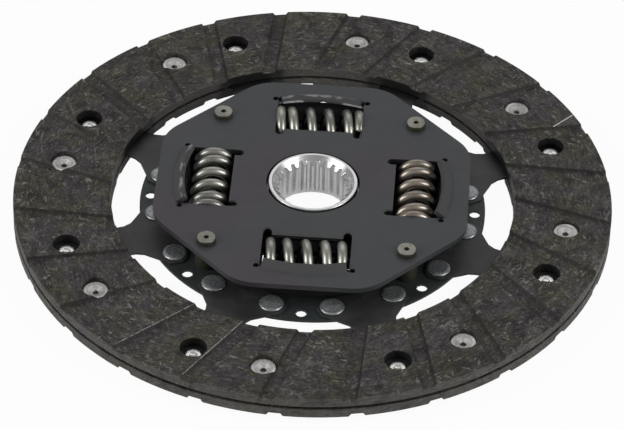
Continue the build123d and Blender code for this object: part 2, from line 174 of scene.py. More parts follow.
class Shader:
    """The nodes of one material, or of the world, built up by expressions."""

    def __init__(self, owner):
        owner.use_nodes = True
        self.owner = owner
        self.tree = owner.node_tree
        self.tree.nodes.clear()
        self.place = self.node("ShaderNodeTexCoord")["Object"]

    def node(self, kind, settings=None, inputs=None):
        """A node of a type; its settings go in first, then its sockets' values or links."""
        made = self.tree.nodes.new(kind)
        for key, setting in (settings or {}).items():
            setattr(made, key, setting)
        for key, given in (inputs or {}).items():
            if isinstance(given, Value):
                self.tree.links.new(given.socket, made.inputs[key])
            else:
                made.inputs[key].default_value = given
        return Outputs(self, made)

    def value(self, number):
        """A plain number as a socket."""
        made = self.node("ShaderNodeValue")
        made.made.outputs[0].default_value = number
        return made[0]

    def noise(self, scale, detail=3.0, roughness=0.55, place=None, distortion=0.0):
        """Noise between 0 and 1; scale is in cycles per metre."""
        return self.node(
            "ShaderNodeTexNoise",
            {"noise_dimensions": "3D"},
            {
                "Vector": place or self.place,
                "Scale": scale,
                "Detail": detail,
                "Roughness": roughness,
                "Distortion": distortion,
            },
        )["Fac"]

    def turned(self, degrees, stretch):
        """The place turned about Z, then scaled along X, Y and Z, for a grain."""
        turn = self.node(
            "ShaderNodeVectorRotate",
            {"rotation_type": "Z_AXIS"},
            {"Vector": self.place, "Angle": np.radians(degrees)},
        )["Vector"]
        return self.node(
            "ShaderNodeVectorMath", {"operation": "MULTIPLY"}, {0: turn, 1: stretch}
        )[0]

    def mix(self, amount, first, second):
        """Colour mix: first at 0, second at 1."""
        return self.node(
            "ShaderNodeMix",
            {"data_type": "RGBA"},
            {0: amount, 6: _colour(first), 7: _colour(second)},
        )[2]

    def vector(self, x, y, z):
        return self.node("ShaderNodeCombineXYZ", None, {0: x, 1: y, 2: z})[0]

    def parts(self):
        """X, Y and Z of the place, in metres."""
        split = self.node("ShaderNodeSeparateXYZ", None, {0: self.place})
        return split["X"], split["Y"], split["Z"]

    def round_parts(self):
        """X, Y and Z of the place and its distance from the disc's axis, in metres."""
        x, y, z = self.parts()
        return x, y, z, (x * x + y * y) ** 0.5

    def off_line(self, angle, start, count):
        """Angle from the nearest of evenly spaced lines, in radians either way. Two
        whole turns are added first, so that what is divided is never negative."""
        step = FULL_TURN / count
        return (angle - start + step / 2 + 2 * FULL_TURN).part_of(step) - step / 2

    def off_rivet(self, start):
        """Distance from the axis of the nearest of one side's facing rivets."""
        x, y, _, radius = self.round_parts()
        swing = self.off_line(y.angle_from(x), np.radians(start), FACING_RIVET_COUNT)
        aside = swing.sin() * radius
        beyond = (swing + np.pi / 2).sin() * radius - FACING_RIVET_R * MM
        return (aside * aside + beyond * beyond) ** 0.5

    def bump(self, height, distance, strength=1.0):
        """Normal tilted by a height of 0 to 1 that stands for a distance in metres."""
        inputs = {"Height": height, "Distance": distance, "Strength": strength}
        return self.node("ShaderNodeBump", None, inputs)["Normal"]

    def surface(self, **sockets):
        """Ends the material in one Principled surface."""
        named = {key.replace("_", " "): _colour(given) for key, given in sockets.items()}
        shader = self.node("ShaderNodeBsdfPrincipled", None, named)["BSDF"]
        self.node("ShaderNodeOutputMaterial", None, {"Surface": shader})
        return self.owner


class Outputs:
    """The outputs of a made node, by name or number."""

    def __init__(self, shader, made):
        self.shader = shader
        self.made = made

    def __getitem__(self, key):
        return Value(self.shader, self.made.outputs[key])


def _colour(given):
    """Three numbers become a colour with full alpha."""
    if isinstance(given, tuple) and len(given) == 3:
        return (*given, 1.0)
    return given


def times(tone, factor):
    """A colour made darker or lighter."""
    return tuple(factor * part for part in tone)


def at_most_one(colour):
    """A colour with no part above 1."""
    return tuple(min(1.0, part) for part in colour)


# ---------------------------------------------------------------- mesh building


def rotation_z(degrees):
    """3x3 rotation about Z."""
    a = np.radians(degrees)
    return np.array([[np.cos(a), -np.sin(a), 0], [np.sin(a), np.cos(a), 0], [0, 0, 1]])


def grid_faces(rows, columns, wrap_rows, wrap_columns):
    """Quads between neighbours of a rows x columns grid of points."""
    i = np.arange(rows if wrap_rows else rows - 1)[:, None]
    j = np.arange(columns if wrap_columns else columns - 1)[None, :]
    a = i * columns + j
    b = i * columns + (j + 1) % columns
    c = ((i + 1) % rows) * columns + (j + 1) % columns
    d = ((i + 1) % rows) * columns + j
    return np.stack([a, b, c, d], axis=-1).reshape(-1, 4)


def piece(name, grids, material, body, replaces=(), sharp=35.0):
    """One mesh object from grids of points in mm, each (points, wrap_rows, wrap_columns).
    Doubled points are merged, faces are turned outwards and edges sharper than
    the given angle stay crisp. The piece rides on its body."""
    corners, faces, start = [], [], 0
    for points, wrap_rows, wrap_columns in grids:
        rows, columns = points.shape[:2]
        corners.append(points.reshape(-1, 3) * MM)
        faces.append(grid_faces(rows, columns, wrap_rows, wrap_columns) + start)
        start += rows * columns
    mesh = bpy.data.meshes.new(name)
    mesh.from_pydata(np.concatenate(corners), [], np.concatenate(faces))
    merged = bmesh.new()
    merged.from_mesh(mesh)
    bmesh.ops.remove_doubles(merged, verts=merged.verts, dist=1e-7)
    bmesh.ops.recalc_face_normals(merged, faces=merged.faces)
    merged.to_mesh(mesh)
    merged.free()
    mesh.polygons.foreach_set("use_smooth", np.ones(len(mesh.polygons), dtype=bool))
    mesh.set_sharp_from_angle(angle=np.radians(sharp))
    mesh.materials.append(material)
    made = bpy.data.objects.new(name, mesh)
    bpy.context.scene.collection.objects.link(made)
    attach(made, body)
    if replaces:
        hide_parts(*replaces)
    return made


def rounded(corners, steps=4):
    """Open outline of (r, z) corners with each marked corner rounded. A corner is
    (r, z) for sharp or (r, z, size); an arc is the quadratic curve
    (1-t)^2 a + 2t(1-t) corner + t^2 b between points that lie the size away from the
    corner, or half way to the next one if that is nearer."""
    corners = [(*c, 0.0) if len(c) == 2 else c for c in corners]
    outline = []
    for k, (r, z, size) in enumerate(corners):
        here = np.array([r, z], dtype=float)
        if size == 0 or k in (0, len(corners) - 1):
            outline.append(here)
            continue
        before = np.array(corners[k - 1][:2], dtype=float)
        after = np.array(corners[k + 1][:2], dtype=float)
        reach_in = min(size, 0.5 * np.linalg.norm(before - here))
        reach_out = min(size, 0.5 * np.linalg.norm(after - here))
        a = here + (before - here) / np.linalg.norm(before - here) * reach_in
        b = here + (after - here) / np.linalg.norm(after - here) * reach_out
        t = np.linspace(0, 1, steps + 1)[:, None]
        outline.extend((1 - t) ** 2 * a + 2 * t * (1 - t) * here + t**2 * b)
    return np.array(outline)


def turned(outline, around=48):
    """Surface of revolution about Z: (r cos a, r sin a, z)."""
    a = np.linspace(0, FULL_TURN, around, endpoint=False)
    r, z = outline[:, 0][:, None], outline[:, 1][:, None]
    return np.stack([r * np.cos(a), r * np.sin(a), z + 0 * a], axis=-1)


def round_the_disc(points, radius, start, count):
    """Copies of a grid made at the origin, spread evenly on a circle."""
    copies = []
    for number in range(count):
        turn = rotation_z(start + number * 360 / count)
        copies.append((points + np.array([radius, 0, 0])) @ turn.T)
    return copies


# ---------------------------------------------------------------- finishes

PURPLE_RESIN = (0.044, 0.037, 0.040)
OLIVE_RESIN = (0.042, 0.040, 0.025)
RESIN_SHADOW = (0.013, 0.011, 0.011)
RESIN_LIGHT = (0.098, 0.091, 0.084)
PALE_FIBRE = (0.165, 0.152, 0.145)
OLIVE_FIBRE = (0.150, 0.142, 0.090)
YARN_GAP = (0.010, 0.009, 0.009)
SOOT_AND_EDGE_SHADE = (0.008, 0.007, 0.007)
PALE_DASH = (0.26, 0.245, 0.225)
GROOVE_DUST_AND_SHADE = (0.020, 0.016, 0.018)
GROOVE_EDGE_HIGHLIGHT = (0.34, 0.32, 0.29)
PALE_STROKE = (0.62, 0.61, 0.57)
OUTER_WALL = (0.110, 0.105, 0.097)
INNER_WALL_LIGHT = (0.110, 0.108, 0.100)
DEEP_SHADE = (0.002, 0.002, 0.002)
BORE_EDGE_HIGHLIGHT = (0.22, 0.22, 0.22)
LIP_STREAK_HIGHLIGHT = (0.30, 0.29, 0.32)
ARM_SHADE = (0.003, 0.003, 0.003)
COIL_SHADE = (0.004, 0.0035, 0.003)
FLANK_SHADE = (0.028, 0.026, 0.016)
RIVET_RING = (0.16, 0.16, 0.15)
RIVET_MOUTH_SHADE = (0.02, 0.02, 0.02)
RIVET_TAIL_HIGHLIGHT = (0.95, 0.94, 0.92)
NEUTRAL = (1.0, 1.0, 1.0)


def lining(s, side):
    """Wound yarn in resin: its colour, its relief, and the fine yarn and the clouds
    that both are made of. The yarn runs round the disc and waves in and out, so noise
    is read at a place that moves slowly round the disc, at full rate across it, and
    whose radius rises and falls with a sine of the angle. Resin shows between as
    purple and olive clouds, and short pale dashes lie in three directions."""
    x, y, z, radius = s.round_parts()
    angle = y.angle_from(x)

    def yarn(scale, round_rate, waves, reach, detail, distortion):
        across = radius + z + (angle * waves + side * 1.3).sin() * reach
        rate = 0.09 * round_rate
        place = s.vector(x / radius * rate, y / radius * rate, across)
        return s.noise(scale, detail, place=place, distortion=distortion)

    def dashes(direction):
        along = s.turned(direction, (0.3, 1.0, 1.0))
        grain = s.noise(950, 1.5, place=along, distortion=0.7)
        patch = s.noise(230, 1.5, place=s.turned(direction, (1.0, 1.0, 1.0)))
        return grain.ramp(0.60, 0.72) * patch.ramp(0.47, 0.60)

    cloud = s.noise(170, detail=5, roughness=0.62)
    hue = s.noise(95, detail=3).ramp(0.44, 0.57)
    colour = s.mix(hue, PURPLE_RESIN, OLIVE_RESIN)
    colour = s.mix(cloud.ramp(0.34, 0.50), RESIN_SHADOW, colour)
    colour = s.mix(cloud.ramp(0.54, 0.70) * 0.85, colour, RESIN_LIGHT)
    fine = yarn(1300, 0.26, 7, 0.0045, 2.5, 0.9)
    bold = yarn(780, 0.30, 5, -0.006, 2.0, 1.2)
    cracks = (s.noise(420, detail=3, distortion=0.8) - 0.5).abs()
    where = s.noise(190, detail=3).ramp(0.42, 0.58)
    tint = s.noise(60, detail=1).ramp(0.45, 0.6)
    fibre = s.mix(tint, PALE_FIBRE, OLIVE_FIBRE)
    colour = s.mix(fine.ramp(0.52, 0.68) * 0.38, colour, fibre)
    colour = s.mix(fine.ramp(0.46, 0.32) * 0.5, colour, YARN_GAP)
    colour = s.mix(cracks.ramp(0.045, 0.010) * 0.65, colour, SOOT_AND_EDGE_SHADE)
    colour = s.mix(bold.ramp(0.57, 0.69) * where * 0.75, colour, fibre)
    zone = s.noise(45, detail=2).ramp(0.36, 0.60) * 0.45 + 0.22
    for direction in (15, 68, 127):
        colour = s.mix(dashes(direction) * zone, colour, PALE_DASH)
    relief = fine * 0.5 + bold * 0.5 + cloud * 0.6 - cracks * 0.6
    return colour, relief, fine, cloud


def groove_marks(s, side, colour):
    """Dust and painted shade in the grooves, a thin dark line of painted shade along their
    edges, and on the front facing a pale line of painted highlight along one edge of a few. A
    groove's middle line is tangent to a circle of radius GROOVE_LEAD, so at radius r it has
    turned by arcsin(lead / r) from its start."""
    x, y, z, radius = s.round_parts()
    angle = y.angle_from(x)
    step = FULL_TURN / GROOVE_COUNT
    lead = (GROOVE_LEAD * MM / radius).arcsin()
    turn = angle * side - lead - GROOVE_START[side] * side + 2 * FULL_TURN
    past_midway = turn.part_of(step) - step / 2  # midway between two grooves
    off = step / 2 - past_midway.abs()
    away = off * (radius * radius - (GROOVE_LEAD * MM) ** 2) ** 0.5
    # The groove floors are darker: dust, and painted shade in the grooves.
    floor = z.abs().ramp(3.3 * MM, 3.0 * MM)
    colour = s.mix(floor * 0.08, colour, GROOVE_DUST_AND_SHADE)
    # Painted shade: a thin dark line along the groove edges, stronger on one side of each
    # groove.
    line = (away - 2.45 * MM).abs().ramp(0.50 * MM, 0.22 * MM)
    shaded_side_share = (past_midway * x * -1).ramp(-0.00002, 0.00002) * 0.6 + 0.1
    colour = s.mix(line * shaded_side_share, colour, SOOT_AND_EDGE_SHADE)
    # Painted highlight: a pale line along one edge of a few grooves on the front facing.
    along = radius.ramp(GROOVE_HIGHLIGHT_TO * MM, (GROOVE_HIGHLIGHT_TO - 1) * MM)
    for middle in HIGHLIGHTED_GROOVES if side == 1 else ():
        near = (angle - np.radians(middle)).abs().ramp(0.14, 0.13)
        edge = (away - 2.9 * MM).abs().ramp(0.24 * MM, 0.10 * MM)
        one_side = past_midway.ramp(-0.001, 0.001)
        uneven = s.noise(700, detail=2).ramp(0.36, 0.58) * 0.7 + 0.15
        colour = s.mix(edge * one_side * near * along * uneven, colour, GROOVE_EDGE_HIGHLIGHT)
    return colour


def pale_stroke(s, colour):
    """One thin pale line on the front facing. Turning the place by the line's own
    direction gives the distance along it and beside it."""
    x, y, z = s.parts()
    turn = np.radians(STROKE_TURN)
    ahead_x, ahead_y = float(np.cos(turn)), float(np.sin(turn))
    off_x = x - STROKE_START[0] * MM
    off_y = y - STROKE_START[1] * MM
    along = off_x * ahead_x + off_y * ahead_y
    beside = off_x * ahead_y - off_y * ahead_x
    half = STROKE_LENGTH * MM / 2
    ends = (along - half).abs().ramp(half, half - 0.4 * MM)
    on_face = z.ramp((FACE_Z - 0.2) * MM, (FACE_Z - 0.1) * MM)
    line = beside.abs().ramp(0.30 * MM, 0.12 * MM)
    return s.mix(line * ends * on_face * 0.9, colour, PALE_STROKE)


def facing_walls(s, side, fine, cloud, colour):
    """Mottle on the outer wall, painted light that makes the inner wall paler, and dark painted
    shade on the inner wall over the segments' arms and in the deep holes that stand over the
    other side's rivets."""
    x, y, z, radius = s.round_parts()
    outer = radius.ramp((RIM_R - 0.45) * MM, (RIM_R - 0.05) * MM)
    colour = s.mix(outer * (fine * 1.2 + cloud * 0.8 - 0.55), colour, OUTER_WALL)
    # Painted light: the inner wall is made paler, as if lit from the floor through the slots.
    inner = radius.ramp((BORE_R + 0.4) * MM, (BORE_R + 0.1) * MM)
    colour = s.mix(inner * 0.5, colour, INNER_WALL_LIGHT)
    off_arm = s.off_line(y.angle_from(x), np.radians(ARM_START), SEGMENT_COUNT)
    arm = off_arm.abs().ramp(0.20, 0.15)
    off_hole = s.off_rivet(REAR_RIVET_START if side == 1 else FRONT_RIVET_START)
    hole = off_hole.ramp(6.5 * MM, 6.0 * MM) * z.abs().ramp(4.0 * MM, 3.7 * MM)
    return s.mix((inner * arm).most(hole) * 0.88, colour, DEEP_SHADE)


def facing_finish(name, side):
    """Friction lining with its grooves, walls and holes; side is 1 for the front."""
    s = Shader(bpy.data.materials.new(name))
    colour, relief, fine, cloud = lining(s, side)
    colour = groove_marks(s, side, colour)
    if side == 1:
        colour = pale_stroke(s, colour)
    return s.surface(
        Base_Color=facing_walls(s, side, fine, cloud, colour),
        Roughness=cloud * 0.2 + 0.55,
        Normal=s.bump(relief, 0.26 * MM),
        Specular_IOR_Level=0.35,
    )


def cover_plate_marks(s, tone, inside, colour, rough):
    """Patina in large soft patches; inside the rim, everything below the top face darker, as
    dark sheared edges and as painted shade under the plate and in its windows; a pale line of
    painted highlight round the near half of the middle hole; lips that are rougher than the
    face and lighter with a painted sheen; and streaks of painted highlight on the far lip and
    the left one."""
    x, y, z, radius = s.round_parts()
    height = z * 1000 - COVER_TOP_Z  # above the top face, in mm
    patch = s.noise(24, detail=2).ramp(0.42, 0.58)
    red, green, blue = tone
    purplish = (1.10 * red, 0.96 * green, 1.16 * blue)
    greenish = (0.88 * red, 1.06 * green, 1.08 * blue)
    colour = s.mix(0.6, colour, s.mix(patch, purplish, greenish))
    # Darker below the top face inside the rim: sheared edges are dark, and painted shade stands
    # for the shade under the plate and in its windows.
    below = height.ramp(-0.15, -0.35)
    within = radius.ramp(51.5 * MM, 50.5 * MM)
    colour = s.mix(below * within, colour, times(tone, inside))
    # Painted highlight: a pale line on the wall round the near half of the middle hole.
    near_hub = radius.ramp(32.5 * MM, 32.0 * MM) * y.ramp(0.0, -20 * MM)
    edge = (height + 0.4).abs().ramp(0.32, 0.18) * near_hub
    colour = s.mix(edge, colour, BORE_EDGE_HIGHLIGHT)
    # Painted sheen: the lips are painted lighter than the face; their higher roughness below is
    # real.
    lip = height.ramp(0.3, 0.7)
    colour = s.mix(lip, colour, times(tone, 1.2))
    # Painted highlights: pale streaks on the far lip and the left one.
    rate = 0.011 / radius
    streak_highlight = s.noise(900, 2, place=s.vector(x * rate, y * rate, radius)).ramp(0.44, 0.60)
    not_near = y.ramp(-30 * MM, -20 * MM)
    not_right = x.ramp(30 * MM, 20 * MM)
    high = height.ramp(1.4, 2.1) * not_near * not_right
    colour = s.mix(streak_highlight * high * 0.8, colour, LIP_STREAK_HIGHLIGHT)
    return colour, rough + lip * 0.25


def facing_rivet_marks(s, side, start, colour, rough):
    """A ring on the head, a dark mouth of painted shade in its middle, and a tail beyond the
    segments that is painted near white as a highlight and made smoother; side is 1 where the
    head is in the front facing."""
    tail = (s.parts()[2] * -1000 * side).ramp(-0.3, 0.0)
    out = s.off_rivet(start) * 1000
    ring = (out - 3.05).abs().ramp(0.35, 0.10)
    # Painted shade: the rivet's hollow mouth is painted dark.
    mouth = out.ramp(1.25, 1.00)
    colour = s.mix(ring * 0.35, colour, RIVET_RING)
    colour = s.mix(mouth * 0.92, colour, RIVET_MOUTH_SHADE)
    # Painted highlight: the tail is painted near white; its lower roughness is a real glint.
    colour = s.mix(tail, colour, RIVET_TAIL_HIGHLIGHT)
    return colour, rough - tail * 0.3


def steel_finish(
    name,
    tone,
    metallic,
    roughness,
    warm=NEUTRAL,
    spots=0.12,
    scratch=0.3,
    coil_shade=0.0,
    inside=None,
    arm_shade=0.0,
    flank=None,
    rivet=None,
    stipple=0.0,
):
    """Steel surface: tone varies softly, with small dark spots and faint scratches,
    and the light patches are tinted by warm. The rest is added where it is asked for.
    coil_shade: how much darker the springs get below the plates' windows. inside: the cover
    plate's marks, with their painted highlights and painted shade, and the share of its tone
    kept below its top face, where its sheared edges are dark and painted shade stands for the
    shade under the plate and in its windows.
    arm_shade: how much darker the segments' far arms get under the facing. flank: the
    height in mm below which the wall of a pin's head is dark. rivet: the side and the
    start angle of a facing rivet. stipple: how strongly small pits show."""
    s = Shader(bpy.data.materials.new(name))
    cloud = s.noise(70, detail=4, roughness=0.6)
    speck = s.noise(900, detail=2).ramp(0.60, 0.74)
    lines = s.noise(420, detail=2, place=s.turned(31, (0.05, 1.0, 1.0))).ramp(0.62, 0.70)
    light = at_most_one(1.18 * part * share for part, share in zip(tone, warm))
    colour = s.mix(cloud.ramp(0.35, 0.68), times(tone, 0.72), light)
    colour = s.mix(speck * spots, colour, times(tone, 0.35))
    colour = s.mix(lines * scratch * 0.35, colour, at_most_one(times(tone, 1.6)))
    rough = roughness + (cloud - 0.5) * 0.22 - lines * 0.08 * scratch
    if coil_shade:
        deep = s.parts()[2].ramp(8.5 * MM, 5.5 * MM)
        colour = s.mix(deep * coil_shade, colour, COIL_SHADE)
    if inside is not None:
        colour, rough = cover_plate_marks(s, tone, inside, colour, rough)
    if arm_shade:
        _, y, _, radius = s.round_parts()
        under = radius.ramp(65.5 * MM, 70.5 * MM) * y.ramp(15 * MM, 35 * MM)
        colour = s.mix(under * arm_shade, colour, ARM_SHADE)
    if flank is not None:
        below = s.parts()[2].ramp((flank + 0.25) * MM, flank * MM)
        colour = s.mix(below * 0.9, colour, FLANK_SHADE)
    if rivet is not None:
        colour, rough = facing_rivet_marks(s, *rivet, colour, rough)
    height = s.noise(1500, detail=3) * 0.4 + cloud * 0.6 - speck * 0.3
    if stipple:
        pits = s.noise(1250, detail=1.5, distortion=0.4)
        colour = s.mix(pits.ramp(0.54, 0.38) * stipple, colour, times(tone, 0.3))
        colour = s.mix(pits.ramp(0.56, 0.70) * stipple, colour, times(tone, 1.7))
        height = height + pits * 1.5
    return s.surface(
        Base_Color=colour,
        Roughness=rough,
        Metallic=metallic,
        Normal=s.bump(height, 0.05 * MM, 0.7),
    )


def machined_finish(name, tone, roughness):
    """Turned steel: fine rings about the disc's axis, bright, with a soft stain."""
    s = Shader(bpy.data.materials.new(name))
    _, _, z, radius = s.round_parts()
    rings = (radius * 21000).sin() * 0.5 + (z * 17000).sin() * 0.3
    cloud = s.noise(120, detail=4)
    return s.surface(
        Base_Color=s.mix(cloud.ramp(0.3, 0.7), times(tone, 0.8), tone),
        Roughness=roughness + (cloud - 0.5) * 0.16,
        Metallic=1.0,
        Normal=s.bump(rings + s.noise(1800) * 0.8, 0.02 * MM, 0.5),
    )


def moulded_finish(name, tone, roughness):
    """Moulded plastic or friction ring: matt, with a faint mottle."""
    s = Shader(bpy.data.materials.new(name))
    cloud = s.noise(220, detail=3)
    return s.surface(
        Base_Color=s.mix(cloud.ramp(0.3, 0.7), times(tone, 0.7), tone),
        Roughness=roughness + (cloud - 0.5) * 0.2,
        Normal=s.bump(s.noise(1700), 0.08 * MM, 0.6),
    )


FRONT_FACING = facing_finish("front_lining", 1)
REAR_FACING = facing_finish("rear_lining", -1)
PLATE_STEEL = steel_finish(
    "phosphated_plate", (0.055, 0.054, 0.056), metallic=0.3, roughness=0.52, inside=0.35
)
DRIVE_STEEL = steel_finish(
    "phosphated_drive_plate",
    (0.040, 0.046, 0.046),
    metallic=0.4,
    roughness=0.50,
    warm=(0.97, 1.0, 1.0),
)
SEGMENT_STEEL = steel_finish(
    "blued_segment",
    (0.050, 0.050, 0.051),
    metallic=0.4,
    roughness=0.48,
    warm=(1.0, 1.0, 0.98),
    arm_shade=0.8,
)
FLANGE_STEEL = steel_finish(
    "flange_steel", (0.018, 0.017, 0.017), metallic=0.3, roughness=0.6
)
SEGMENT_RIVET_STEEL = steel_finish(
    "rivet_steel",
    (0.33, 0.34, 0.35),
    metallic=0.7,
    roughness=0.36,
    spots=0.5,
    scratch=0.5,
    stipple=0.45,
)
FACING_RIVET_STEEL = {
    side: steel_finish(
        f"plated_rivet_{name}",
        (0.68, 0.67, 0.655),
        metallic=0.6,
        roughness=0.46,
        warm=(1.0, 1.0, 0.99),
        rivet=(side, start),
        stipple=0.2,
    )
    for side, name, start in (
        (1, "front", FRONT_RIVET_START),
        (-1, "rear", REAR_RIVET_START),
    )
}
PIN_ZINC = steel_finish(
    "yellow_zinc",
    (0.262, 0.262, 0.228),
    metallic=0.5,
    roughness=0.5,
    warm=(1.0, 1.0, 0.98),
    spots=0.9,
    flank=COVER_TOP_Z + 1.65,
)
SPRING_STEEL = steel_finish(
    "spring_wire",
    (0.37, 0.365, 0.335),
    metallic=0.9,
    roughness=0.33,
    warm=(1.0, 1.0, 0.98),
    spots=0.3,
    coil_shade=0.85,
)
BROWN_SPRING_STEEL = steel_finish(
    "tempered_spring_wire",
    (0.36, 0.32, 0.28),
    metallic=0.9,
    roughness=0.33,
    warm=(1.0, 0.98, 0.95),
    spots=0.3,
    coil_shade=0.85,
)
WASHER_STEEL = steel_finish(
    "washer_steel", (0.20, 0.20, 0.20), metallic=0.9, roughness=0.4
)
HUB_STEEL = machined_finish("machined_hub", (0.74, 0.74, 0.74), roughness=0.28)
BUSH_PLASTIC = moulded_finish("bush_plastic", (0.03, 0.027, 0.024), roughness=0.6)
FRICTION_PLASTIC = moulded_finish("friction_ring", (0.09, 0.075, 0.055), roughness=0.7)


def paint(node, material):
    """Gives a CAD node its finish."""
    for held in NODES[node].material_slots:
        held.material = material


paint("facing_front", FRONT_FACING)
paint("facing_rear", REAR_FACING)
paint("cover_plate", PLATE_STEEL)
paint("drive_plate", DRIVE_STEEL)
paint("hub_flange", FLANGE_STEEL)
paint("guide_bush", BUSH_PLASTIC)
paint("friction_ring", FRICTION_PLASTIC)
paint("support_washer", WASHER_STEEL)
paint("cup_spring", WASHER_STEEL)
for number in range(SEGMENT_COUNT):
    paint(f"cushion_segment_{number + 1}", SEGMENT_STEEL)

# ---------------------------------------------------------------- rivets and pins


def facing_rivet(side):
    """Tubular rivet: flat head with a rolled mouth, shank, and an end rolled over the
    segment. The closed section is turned about the rivet's own axis."""
    seat = CUSHION_HALF + FACING_WEB
    top = seat + 0.75
    grip = CUSHION_HALF - SEGMENT_T
    section = [
        (0.0, top - 1.9),
        (0.8, top - 1.85),
        (0.85, top - 1.4),
        (1.1, top - 1.15, 0.15),
        (2.2, top - 0.55, 0.6),
        (3.0, top - 0.12, 0.3),
        (3.5, top, 0.2),
        (4.3, top - 0.02, 0.15),
        (4.5, top - 0.25, 0.1),
        (4.5, seat, 0.05),
        (2.4, seat),
        (2.4, grip),
        (2.85, grip - 0.1, 0.1),
        (2.9, grip - 0.5, 0.2),
        (2.6, grip - 0.72, 0.2),
        (1.5, grip - 0.68, 0.3),
        (0.85, grip - 0.4),
        (0.0, grip - 0.35),
    ]
    outline = rounded(section)
    outline[:, 1] *= side
    return turned(outline, 40)


def rivet_group(name, node, side, start):
    """All the rivets that hold one facing to the segments."""
    grids = [
        (copy, False, True)
        for copy in round_the_disc(
            facing_rivet(side), FACING_RIVET_R, start, FACING_RIVET_COUNT
        )
    ]
    piece(name, grids, FACING_RIVET_STEEL[side], "plates", (node,))


rivet_group("tubular_rivets_front", "facing_rivets_front", 1, FRONT_RIVET_START)
rivet_group("tubular_rivets_rear", "facing_rivets_rear", -1, REAR_RIVET_START)

segment_rivet_outline = rounded(
    [
        (0.0, 0.70),
        (3.2, 0.74, 0.5),
        (3.95, 0.52, 0.25),
        (4.4, 0.10, 0.2),
        (4.15, FOOT_TOP_Z, 0.1),
        (2.5, FOOT_TOP_Z),
        (2.5, DRIVE_BOTTOM_Z),
        (3.7, DRIVE_BOTTOM_Z, 0.1),
        (3.9, DRIVE_BOTTOM_Z - 0.5, 0.3),
        (3.6, DRIVE_BOTTOM_Z - 1.3, 0.4),
        (0.0, DRIVE_BOTTOM_Z - 1.4),
    ]
)
segment_rivet_grids = []
for start in (-SEGMENT_RIVET_OFFSET, SEGMENT_RIVET_OFFSET):
    for copy in round_the_disc(
        turned(segment_rivet_outline), SEGMENT_RIVET_R, start, SEGMENT_COUNT
    ):
        segment_rivet_grids.append((copy, False, True))
piece(
    "formed_segment_rivets",
    segment_rivet_grids,
    SEGMENT_RIVET_STEEL,
    "plates",
    ("segment_rivets",),
)

pin_outline = rounded(
    [
        (0.0, COVER_TOP_Z + 0.4),
        (0.7, COVER_TOP_Z + 0.45),
        (0.95, COVER_TOP_Z + 1.88, 0.12),
        (1.7, COVER_TOP_Z + 1.98, 0.3),
        (3.15, COVER_TOP_Z + 1.95, 0.25),
        (3.42, COVER_TOP_Z + 1.55, 0.25),
        (3.5, COVER_TOP_Z, 0.1),
        (2.4, COVER_TOP_Z),
        (2.4, COVER_BOTTOM_Z),
        (4.0, COVER_BOTTOM_Z, 0.2),
        (4.0, DRIVE_TOP_Z, 0.2),
        (2.4, DRIVE_TOP_Z),
        (2.4, DRIVE_BOTTOM_Z),
        (3.4, DRIVE_BOTTOM_Z, 0.1),
        (3.4, DRIVE_BOTTOM_Z - 0.8, 0.3),
        (2.7, DRIVE_BOTTOM_Z - 1.4, 0.3),
        (0.0, DRIVE_BOTTOM_Z - 1.4),
    ]
)
piece(
    "shouldered_pins",
    [
        (copy, False, True)
        for copy in round_the_disc(turned(pin_outline), PIN_R, PIN_START, PIN_COUNT)
    ],
    PIN_ZINC,
    "plates",
    ("spacer_pins",),
)


def foot_dimple():
    """Shallow pressed dome on a segment's foot: height falls with the cosine of the
    distance from its middle, to just below the foot's face at the rim."""
    reach, rise, sunk = 2.3, 0.28, 0.02
    r = np.linspace(0, reach, 10)
    z = FOOT_TOP_Z + rise * 0.5 * (1 + np.cos(np.pi * r / reach)) - sunk
    return turned(np.stack([r, z], axis=1), 28)


piece(
    "foot_dimples",
    [
        (copy, False, True)
        for copy in round_the_disc(foot_dimple(), FOOT_DIMPLE_R, ARM_START, SEGMENT_COUNT)
    ],
    SEGMENT_STEEL,
    "plates",
)

# ---------------------------------------------------------------- damper springs


def spring_wire(length, outer_d, wire_d, active_turns, phase_turns, hand=1):
    """Round wire carried along a helix about local X. The axial place grows by one
    wire diameter a turn in the closed end coils and evenly between them; the ends
    are ground flat by limiting the axial place to the spring's length."""
    closed = 0.9  # turns of each end coil
    points_a_turn, wire_sides = 44, 20
    coil_r = (outer_d - wire_d) / 2
    first = -length / 2 + wire_d / 4
    total = active_turns + 2 * closed
    active_pitch = (-2 * first - 2 * closed * wire_d) / active_turns
    t = np.linspace(0, total, int(total * points_a_turn) + 1)
    start = np.minimum(t, closed)
    middle = np.clip(t - closed, 0, active_turns)
    end = np.clip(t - closed - active_turns, 0, closed)
    axial = first + (start + end) * wire_d + middle * active_pitch
    soft = np.ones(9) / 9  # rounds the change of pitch
    axial = np.convolve(np.pad(axial, 4, mode="reflect", reflect_type="odd"), soft, "valid")
    angle = hand * FULL_TURN * (t - phase_turns) + np.pi / 2
    middle_line = np.stack([axial, coil_r * np.cos(angle), coil_r * np.sin(angle)], axis=1)
    along = np.gradient(middle_line, axis=0)
    along /= np.linalg.norm(along, axis=1)[:, None]
    outward = np.stack([0 * angle, np.cos(angle), np.sin(angle)], axis=1)
    across = np.cross(along, outward)
    p = np.linspace(0, FULL_TURN, wire_sides, endpoint=False)
    ring = (
        outward[:, None, :] * np.cos(p)[None, :, None]
        + across[:, None, :] * np.sin(p)[None, :, None]
    )
    tube = middle_line[:, None, :] + wire_d / 2 * ring
    lids = [
        np.repeat(middle_line[k][None, None, :], wire_sides, axis=1) for k in (0, -1)
    ]
    tube = np.concatenate([lids[0], tube, lids[1]], axis=0)
    tube[..., 0] = np.clip(tube[..., 0], -length / 2, length / 2)
    return tube


